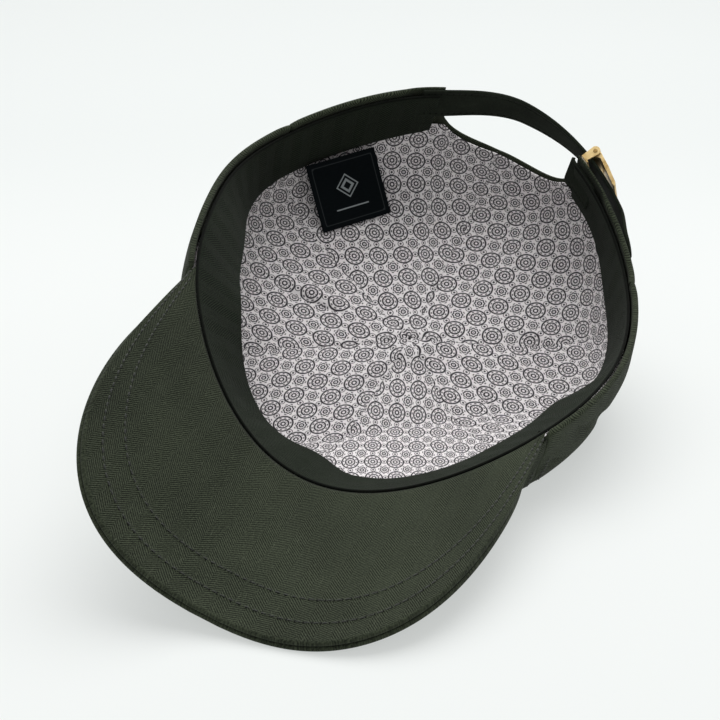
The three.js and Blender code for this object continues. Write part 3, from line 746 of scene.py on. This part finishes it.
# - the visor
VISOR_COLUMNS, VISOR_GRID_ROWS = 190, 42
VISOR_SPAN = 0.988  # the covers end this share of the way to the visor's corners
UNDER_BAND = 0.75  # how far out from the rim the covers start, below the sweatband
BOARD_INSET = 2.8  # from the visor's edge to the board's


def visor_outline(s):
    """The visor's edge, for s from -1 to 1 between its corners."""
    corner, front = rim(CORNER), rim(0.0)
    a = s * math.pi / 2
    x = corner[0] * VISOR_SPREAD * np.sign(a) * np.abs(np.sin(a)) ** (2 / VISOR_POWER)
    y = corner[1] + (front[1] - VISOR_LENGTH - corner[1]) * np.cos(a) ** (2 / VISOR_POWER)
    drop = x * x / (2 * VISOR_R) + math.tan(math.radians(VISOR_SLOPE)) * (front[1] - y)
    return np.stack([x, y, front[2] - drop], -1)


def visor_grid():
    """Each column's s, the underside's points, and the way up from them."""
    s = np.sin(np.linspace(-1, 1, VISOR_COLUMNS) * math.pi / 2 * 0.985)
    s = s / s.max() * VISOR_SPAN
    ends = crowded(s[0], s[-1], 10, 0.004)
    s = np.unique(np.concatenate([ends[:5], s[5:-5], ends[-5:]]))
    inner = beside(s * CORNER, UNDER_BAND + 0 * s, 0 * s)
    edge = visor_outline(s)
    outermost = 1 - 0.1 * (np.linspace(1, 0, 15) ** 1.8)[1:]
    v = np.unique(np.concatenate([np.linspace(0, 0.9, VISOR_GRID_ROWS), outermost]))
    grid = inner[:, None] + (edge - inner)[:, None] * v[None, :, None]
    facing = unit(np.cross(np.gradient(grid, axis=0), np.gradient(grid, axis=1)).sum(1))
    if facing[len(s) // 2, 2] < 0:
        facing = -facing
    facing = unit(blurred(facing, np.ones(19) / 19))
    return s, grid, np.broadcast_to(facing[:, None], grid.shape)


def visor_uvs(grid):
    """The cloth laid out flat, and places along the edge and in from it."""
    x, y = grid[..., 0], grid[..., 1]
    q = x / VISOR_R
    arc = x / 2 * np.sqrt(1 + q * q) + VISOR_R / 2 * np.arcsinh(q)
    weave = np.stack([arc, -y / math.cos(math.radians(VISOR_SLOPE))], -1)
    far = spacing(grid, 1)
    from_edge = far[:, -1:] - far
    run = spacing(grid, 0)[:, -1:] + 0 * far
    return {"weave": weave, "seam": np.stack([run, from_edge], -1)}


def visor():
    """Two covers, which roll round the board's edge."""
    s, grid, up = visor_grid()
    uvs = visor_uvs(grid)
    from_edge = uvs["seam"][..., 1]
    ripple = 0.12 * np.sin(uvs["seam"][..., 0] / 11) * np.exp(-(from_edge / 9) ** 2)
    grid = grid + up * column(ripple)
    side = spacing(grid, 0)
    roll = 1 - smooth(1.0, 2.4, np.minimum(from_edge, np.minimum(side, side[-1:] - side)))
    thick = COVER + (VISOR_THICK / 2 - 0.08 - COVER) * roll
    under = slab("visor_under", grid, up, thick, uvs, VISOR_UNDER)
    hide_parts("visor_under_cover")
    declare_sheet(grid)
    top = slab("visor_top", grid + up * VISOR_THICK, -up, thick, uvs, VISOR_TOP)
    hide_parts("visor_top_cover")
    declare_sheet(grid)
    return s, grid, up, uvs


VISOR_S, VISOR_GRID, VISOR_UP, VISOR_UVS = visor()


def visor_stiffener():
    """The board between the covers, kept back from the rolled edge and the ends."""
    inner, edge = VISOR_GRID[3:-3, 0], VISOR_GRID[3:-3, -1]
    length = np.linalg.norm(edge - inner, axis=-1)
    part = np.linspace(0.03, 1, 24)[None, :, None]
    grid = inner[:, None] + (edge - inner)[:, None] * part * column(1 - BOARD_INSET / length)[:, None]
    up = np.broadcast_to(VISOR_UP[3:-3, :1], grid.shape)
    room = VISOR_THICK - 2 * COVER - 0.2
    uv = np.stack([grid[..., 0], grid[..., 1]], -1)
    low = grid + up * (COVER + 0.1)
    piece = slab("visor_stiffener", low, up, room, {"weave": uv}, BOARD)
    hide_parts("visor_board")


visor_stiffener()


# - stitches: short threads that dip into the cloth at both ends
def stitches(name, runs, pitch, length, radius):
    """runs are (points, outward normals) along each row of stitching, in worn millimetres."""
    verts, faces = [], []
    sides, rings = 6, 6
    for points, normals in runs:
        far = np.concatenate([[0], np.cumsum(np.linalg.norm(np.diff(points, axis=0), axis=1))])
        for start in np.arange(pitch, far[-1] - pitch, pitch):
            t = np.linspace(0, 1, rings)
            at = start + t * length
            p = on_curve(at, far, points)
            n = unit(on_curve(at, far, normals))
            run = unit(np.gradient(p, axis=0))
            side = unit(np.cross(run, n))
            p = p + n * column(radius * (1.5 * np.sin(t * math.pi) ** 0.6 - 0.9))
            r = radius * (0.55 + 0.45 * np.sin(t * math.pi) ** 0.5)
            first = len(verts)
            for k in range(rings):
                for j in range(sides):
                    a = 2 * math.pi * j / sides
                    verts.append(p[k] + r[k] * (math.cos(a) * side[k] * 1.25 + math.sin(a) * n[k]))
            for k in range(rings - 1):
                for j in range(sides):
                    a, b = first + k * sides + j, first + k * sides + (j + 1) % sides
                    faces.append([a, b, b + sides, a + sides])
            faces.append([first + j for j in range(sides)][::-1])
            faces.append([first + (rings - 1) * sides + j for j in range(sides)])
    uv = np.zeros((len(verts), 2))
    new_mesh(name, to_row(np.array(verts)), faces, {"weave": uv}, THREAD)


def visor_row(distance, under):
    """Points at a distance from the visor's edge, on its underside or on top."""
    from_edge = VISOR_UVS["seam"][..., 1]
    points = []
    for i in range(len(VISOR_S)):
        if from_edge[i, 0] >= distance + 1:
            point = on_curve(-distance, -from_edge[i], VISOR_GRID[i])
            points.append(point + VISOR_UP[i, 0] * (0 if under else VISOR_THICK))
    points = np.array(points)
    normals = np.broadcast_to(VISOR_UP[len(VISOR_S) // 2, 0] * (-1 if under else 1), points.shape)
    return points, normals


stitches("visor_stitching", [visor_row(d, under) for d in VISOR_ROWS for under in (True, False)],
         NEEDLE_PITCH, 2.2, 0.24)


SEAM_OFFSET = 3.0  # from a seam to the stitch row on each side of it


def seam_rows():
    """A row on each side of each crown seam, left out where the crown lies on the floor."""
    runs = []
    for seam in np.arange(0.0, 360.0, 60.0):
        top = crown_curves(np.array([seam]))[1][0, -1] - 9
        low = float(opening_depth(seam)) + 3
        height = np.linspace(14, 100, 60)
        height = height[(height > low) & (height < top)]
        middle = crown_face(np.array([seam]), height[None])[0]
        radius = np.maximum(np.hypot(middle[:, 0] - APEX[0], middle[:, 1] - APEX[1]), 12)
        for offset in (-SEAM_OFFSET, SEAM_OFFSET):
            angles = seam + np.degrees(offset / radius)
            face = crown_face(angles, height[:, None])[:, 0]
            side = crown_face(angles + 1, height[:, None])[:, 0] - face
            normals = -unit(np.cross(np.gradient(face, axis=0), side))
            face = on_floor(face)
            clear = 1000 * to_row(face)[:, 2] > 1.5
            if clear.sum() > 8:
                runs.append((face[clear], normals[clear]))
    return runs


stitches("seam_stitching", seam_rows(), 2.9, 2.1, 0.22)


# - the strap, one piece from its sewn end to its free end
SETTLE = 2.3  # how much closer to the crown the free end lies
TIP_FROM, TIP_TO = STRAP_END - 10, STRAP_END - 4  # where the free end narrows


def strap_edges(degrees):
    """The strap's lower edge, and the way across it, at these angles."""
    left = 1 - smooth(OPEN_LEFT - 1, OPEN_LEFT + 21, degrees)
    channel = BAND_THICK + GAP + 0.1

    def outside(height):
        face = crown_face(degrees, np.full((len(degrees), 1), height))[:, 0]
        return ((face - rim(degrees)) * outward(degrees)).sum(-1) + STRAP_LIFT

    settle = SETTLE * smooth(TAIL_SPLIT + 3, STRAP_END - 8, degrees)
    low = (outside(HEM_DROP + STRAP_RISE) - settle) * (1 - left) + channel * left
    lean = STRAP_LEAN * bump(BUCKLE_AT, 16, degrees)
    high = (outside(HEM_DROP + STRAP_RISE + STRAP_WIDTH) + lean - settle) * (1 - left) + channel * left
    low_edge = beside(degrees, low, STRAP_RISE + 0 * low)
    across = unit(beside(degrees, high, STRAP_RISE + STRAP_WIDTH + 0 * high) - low_edge)
    return low_edge, across


def strap():
    """One strip that rides the cap up to the buckle and the tail past it."""
    degrees = crowded(STRAP_START, TIP_TO, 170, 0.8)
    rows = crowded(0, STRAP_WIDTH, 22, 0.9)
    low, across = strap_edges(degrees)
    tip = np.clip((degrees - TIP_FROM) / (TIP_TO - TIP_FROM), 0, 1)
    narrow = np.sqrt(1 - 0.9 * tip**2)[:, None]
    place = STRAP_WIDTH / 2 + (rows - STRAP_WIDTH / 2) * narrow
    base = low[:, None] + across[:, None] * column(place)
    normal = -grid_normals(base)
    rib = 0.28 * (np.exp(-(((rows - 0.9) / 0.8) ** 2)) + np.exp(-(((STRAP_WIDTH - 0.9 - rows) / 0.8) ** 2)))
    base = base - normal * column(np.broadcast_to(rib * 0.6, base.shape[:2]))
    thick = np.broadcast_to(STRAP_THICK + 1.2 * rib, base.shape[:2])
    u = spacing(base, 0)[:, :1] + 0 * rows
    v = np.broadcast_to(rows, u.shape)
    seam = np.stack([u, np.minimum(v, STRAP_WIDTH - v)], -1)
    piece = slab("strap_cloth", base, normal, thick, {"weave": np.stack([u, v], -1), "seam": seam},
                 STRAP, body=None)
    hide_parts("back_strap", "strap_tail")
    start, end = to_row(strap_edges(np.array([TAIL_SPLIT - 1.0, TAIL_SPLIT + 2.0]))[0])
    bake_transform(piece)
    declare_sheet(base)


strap()


TAB_THICK = 1.5


def buckle_tab():
    """A short strip that comes out of the band's end and folds back over the buckle's base."""
    start = BAND_THICK + GAP + 0.1
    path = np.array([(9, 0), (4, 0), (0.5, 0), (-1.2, 0.5), (-1.7, 1.7), (-1.0, 2.8)])
    t = np.linspace(0, len(path) - 1, 40)
    degrees, out = (on_curve(t, range(len(path)), path) + [OPEN_RIGHT, start]).T
    rows = crowded(0.5, 13.5, 14, 0.6)
    base = np.stack([beside(degrees, out, 0 * out + h) for h in rows], 1)
    base = blurred(base, np.array([1, 2, 3, 2, 1]) / 9)
    normal = grid_normals(base)
    u = spacing(base, 0)
    v = np.broadcast_to(rows, u.shape)
    seam = np.stack([u, np.minimum(v - 0.5, 13.5 - v)], -1)
    uvs = {"weave": np.stack([u, v], -1), "seam": seam}
    piece = slab("tab_cloth", base, normal, TAB_THICK, uvs, STRAP)
    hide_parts("buckle_tab")
    declare_sheet(base)


buckle_tab()

# - the label
LABEL_AT, LABEL_WIDTH, LABEL_LENGTH, LABEL_THICK = 136, 33, 30, 0.5
LABEL_SKEW, LABEL_OFF_BAND, LABEL_CLEAR = -4.5, 2.8, 9.3


def size_label():
    """The label, from its seam under the sweatband's edge to its folded lower end."""
    hinge = beside(LABEL_AT, -LABEL_OFF_BAND, BAND_WIDTH - 2)
    reach = BAND_WIDTH + LABEL_LENGTH + HEM_DROP

    def face(d, h):
        return on_floor(crown_face(np.array([float(d)]), np.array([[float(h)]]))[0, 0])

    across = face(LABEL_AT + 1.5, reach) - face(LABEL_AT - 1.5, reach)
    upward = face(LABEL_AT, reach + 2.5) - face(LABEL_AT, reach - 2.5)
    inner = face(LABEL_AT, reach) + unit(np.cross(upward, across)) * LABEL_CLEAR
    flat = unit(inner - hinge)
    normal = unit(np.cross(along(LABEL_AT), flat))
    skew = np.array(Matrix.Rotation(math.radians(LABEL_SKEW), 3, Vector(normal)))
    down, wide = skew @ flat, skew @ along(LABEL_AT)
    x = crowded(-LABEL_WIDTH / 2, LABEL_WIDTH / 2, 30, 0.5)
    y = crowded(0, LABEL_LENGTH, 30, 0.5)
    base = hinge + x[:, None, None] * wide + y[None, :, None] * down
    bow = 0.5 * np.sin(y / LABEL_LENGTH * math.pi)[None] * (1 - 0.4 * np.abs(x / LABEL_WIDTH * 2)[:, None])
    fold = np.exp(-((y - 1.0) / 0.7) ** 2) + np.exp(-((LABEL_LENGTH - 2.6 - y) / 0.5) ** 2)
    base = base - normal * column(0.25 - 0.6 * bow)
    thick = LABEL_THICK + 0.125 * fold[None]
    xy = np.stack(np.broadcast_arrays(x[:, None], y[None]), -1)
    edge = np.minimum(LABEL_WIDTH / 2 - np.abs(xy[..., 0]), np.minimum(xy[..., 1], LABEL_LENGTH - xy[..., 1]))
    seam = np.stack([xy[..., 0] + xy[..., 1], edge], -1)
    facing = np.broadcast_to(-normal, base.shape)
    uvs = {"weave": xy, "seam": seam}
    piece = slab("label_cloth", base, facing, thick, uvs, LABEL, "label")
    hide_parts("size_label")
    declare_sheet(base)


size_label()

# - the buckle: x along the strap to its free end, y outward, z across it
PIN_HEIGHT, BARREL, PIN_R, BASE_GAP, BASE_THICK = 3.8, 2.0, 0.9, 1.3, 0.8
LEVER_LENGTH, LEVER_THICK, LEVER_HALF = 17.6, 1.15, 8.3
CHEEK_Z, OUTER_Z = 8.85, 9.45  # the ears' inner and outer faces
PLATE_DROP = 3.1  # the plate comes down towards the strap at its end


def buckle_frame_axes():
    """The buckle's origin on the strap, and its x, y and z."""
    low, across = strap_edges(np.array([BUCKLE_AT, BUCKLE_AT + 6.0]))
    high = low + across * STRAP_WIDTH
    z = unit(high[0] - low[0])
    x = unit(low[1] + high[1] - low[0] - high[0])
    y = unit(np.cross(z, x))
    x = np.cross(y, z)
    side = 1 if np.dot(y, outward(BUCKLE_AT)) > 0 else -1
    return (low[0] + high[0]) / 2, x, y * side, z


BUCKLE_ORIGIN, BUCKLE_X, BUCKLE_Y, BUCKLE_Z = buckle_frame_axes()


def arc(cx, cy, radius, start, end, count):
    """Points of a circle between two angles."""
    return [(cx + radius * math.cos(math.radians(a)), cy + radius * math.sin(math.radians(a)))
            for a in np.linspace(start, end, count)]


def prism(name, parts, bevel, material, body):
    """parts are (outline in x and y, from z, to z); their long edges are rounded."""
    work = bmesh.new()
    for outline, z0, z1 in parts:
        rings = []
        for z in (z0, z1):
            rings.append([work.verts.new((x, y, z)) for x, y in outline])
        n = len(outline)
        caps = [work.faces.new(rings[0][::-1]), work.faces.new(rings[1])]
        for k in range(n):
            q = (k + 1) % n
            work.faces.new((rings[0][k], rings[0][q], rings[1][q], rings[1][k]))
        rim_edges = [e for cap in caps for e in cap.edges]
        bmesh.ops.bevel(work, geom=rim_edges, offset=bevel, segments=3, profile=0.5, affect="EDGES")
    bmesh.ops.recalc_face_normals(work, faces=work.faces)
    for v in work.verts:
        x, y, z = v.co
        v.co = to_row(BUCKLE_ORIGIN + x * BUCKLE_X + y * BUCKLE_Y + z * BUCKLE_Z).tolist()
    bmesh.ops.recalc_face_normals(work, faces=work.faces)
    mesh = bpy.data.meshes.new(name)
    work.to_mesh(mesh)
    work.free()
    mesh.materials.append(material)
    piece = add_object(name, mesh)
    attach(piece, body)
    return piece


def buckle():
    """Lever, frame and pin."""
    top = PIN_HEIGHT + BARREL
    under = top - LEVER_THICK
    # the lever: a barrel round the pin, and a plate with a turned-down, rounded end
    outline = arc(0, PIN_HEIGHT, BARREL, 90, 325, 26)
    outline += [(3.4, under), (LEVER_LENGTH - 2.2, under), (LEVER_LENGTH - 1.2, under - 0.25)]
    outline += arc(LEVER_LENGTH - 0.75, under + 0.35, 0.75, -110, 20, 7)
    outline += [(LEVER_LENGTH - 0.5, top - 0.35), (LEVER_LENGTH - 1.4, top), (LEVER_LENGTH / 2, top + 0.12)]
    outline = [(x, y - PLATE_DROP * max(x / LEVER_LENGTH, 0) ** 1.2) for x, y in outline]
    lever = prism("buckle_plate", [(outline, -LEVER_HALF, LEVER_HALF)], 0.3, BRASS, "lever")
    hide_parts("buckle_lever")
    # the frame: a base under the strap, and a round ear at each edge
    ear = arc(0, PIN_HEIGHT, BARREL + 0.1, 0, 180, 20)
    foot = -BASE_GAP - BASE_THICK
    ear += [(-1.7, 0.6), (-1.5, foot), (1.5, foot), (1.7, 0.6)]
    base = [(-1.6, foot), (2.4, foot), (2.4, -BASE_GAP), (-1.6, -BASE_GAP)]
    parts = [(ear, CHEEK_Z, OUTER_Z), (ear, -OUTER_Z, -CHEEK_Z), (base, 0.1 - OUTER_Z, OUTER_Z - 0.1)]
    body = prism("buckle_base", parts, 0.16, BRASS, "cap")
    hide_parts("buckle_frame")
    reach = OUTER_Z + 0.25
    rod = [(arc(0, PIN_HEIGHT, PIN_R, 0, 345, 24), -reach, reach)]
    pin = prism("buckle_rod", rod, 0.2, BRASS_DARK, "cap")
    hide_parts("buckle_pin")


buckle()


# - the button
def button():
    """A cloth-covered dome with six faint seams."""
    profile = [(0.01, 0.3), (5.6, 0.3), (6.3, 0.45), (6.75, 0.95), (6.8, 1.6), (6.5, 2.5), (5.7, 3.3),
               (4.4, 3.95), (2.9, 4.4), (1.4, 4.65), (0.01, 4.75)]
    turns = np.linspace(0, 2 * math.pi, 73)
    far = np.linspace(0, len(profile) - 1, 60)
    r, h = on_curve(far, range(len(profile)), np.array(profile)).T
    crease = 0.16 * np.exp(-((np.mod(turns, math.pi / 3) - math.pi / 6) / 0.09) ** 2)
    scale = 1 - crease[:, None] * smooth(1.0, 2.4, h)[None]
    x, y = r * np.cos(turns)[:, None] * scale, r * np.sin(turns)[:, None] * scale
    points = np.stack([x, y, h + 0 * x], -1) + APEX
    flat = np.stack([x, y], -1).reshape(-1, 2)
    uvs = {"weave": flat, "seam": flat}
    faces = grid_faces(*points.shape[:2])
    piece = new_mesh("button_cloth", to_row(points.reshape(-1, 3)), faces, uvs, SHELL)
    work = bmesh.new()
    work.from_mesh(piece.data)
    bmesh.ops.remove_doubles(work, verts=work.verts, dist=1e-5)
    bmesh.ops.recalc_face_normals(work, faces=work.faces)
    work.to_mesh(piece.data)
    work.free()
    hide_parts("top_button")


button()

# - the button's prong is the frame's own mesh, because the cloth closes it in
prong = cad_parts["button_prong"].data
prong.materials.clear()
prong.materials.append(STEEL)


# - floor, light and camera
CAMERA_AZIMUTH, CAMERA_ELEVATION, CAMERA_DISTANCE, CAMERA_LENS = 27.17, 23.87, 0.621, 79.0
CAMERA_TARGET = Vector((-0.00817, 0.01105, 0.03644))
FLOOR_HALF = 6.0


def add_floor():
    """A plain pale floor, painted a little darker far behind the cap as painted shade, and glowing with
    painted light of its own, which lightens the shadows on it.
    """
    f = Finish("floor")
    split = f.node("ShaderNodeSeparateXYZ")
    f.tree.links.new(f.object_place(), split.inputs[0])
    a = math.radians(CAMERA_AZIMUTH)
    back = Val(f.tree, split.outputs[1]) * math.cos(a) - Val(f.tree, split.outputs[0]) * math.sin(a)
    # painted shade: the far part of the floor is darkened, blended with a faint random cloud
    cloud = f.noise_in_place(3.0, 2.0) * 0.2 + back.ramp(0.16, 0.5) * 0.8
    # painted light: the emission makes the floor glow and lightens the shadows cast on it
    material = f.done(f.mix(cloud, (0.335, 0.342, 0.338), (0.275, 0.287, 0.285)), 0.9,
                      Emission_Color=(0.97, 1.0, 0.985, 1), Emission_Strength=0.525)
    mesh = bpy.data.meshes.new("floor")
    corners = [(x * FLOOR_HALF, y * FLOOR_HALF, 0) for x, y in ((-1, -1), (1, -1), (1, 1), (-1, 1))]
    mesh.from_pydata(corners, [], [(0, 1, 2, 3)])
    mesh.materials.append(material)
    floor = add_object("floor", mesh)


def add_light(name, place, target, size, power):
    lamp = bpy.data.lights.new(name, "AREA")
    lamp.shape, lamp.size, lamp.energy = "DISK", size, power
    item = add_object(name, lamp)
    item.location = place
    item.rotation_mode = "QUATERNION"
    item.rotation_quaternion = (Vector(target) - Vector(place)).to_track_quat("-Z", "Y")


def add_world(strength):
    world = bpy.data.worlds.new("studio")
    world.use_nodes = True
    background = world.node_tree.nodes["Background"]
    background.inputs[0].default_value = (0.97, 0.985, 0.98, 1)
    background.inputs[1].default_value = strength
    bpy.context.scene.world = world


def add_camera():
    a, e = math.radians(CAMERA_AZIMUTH), math.radians(CAMERA_ELEVATION)
    back = Vector((math.sin(a) * math.cos(e), -math.cos(a) * math.cos(e), math.sin(e)))
    data = bpy.data.cameras.new("camera")
    data.lens, data.sensor_width = CAMERA_LENS, 36
    data.clip_start, data.clip_end = 0.01, 50
    camera = add_object("camera", data)
    camera.location = CAMERA_TARGET + back * CAMERA_DISTANCE
    camera.rotation_mode = "QUATERNION"
    camera.rotation_quaternion = (-back).to_track_quat("-Z", "Y")
    bpy.context.scene.camera = camera


add_floor()
add_world(0.38)
add_light("key", (-0.2, 0.5, 1.5), (0, 0, 0), 2.0, 30)
add_light("fill", (0.5, -1.5, 1.2), (0, 0, 0.03), 1.6, 4)
add_camera()
bpy.context.scene.view_settings.view_transform = "Standard"
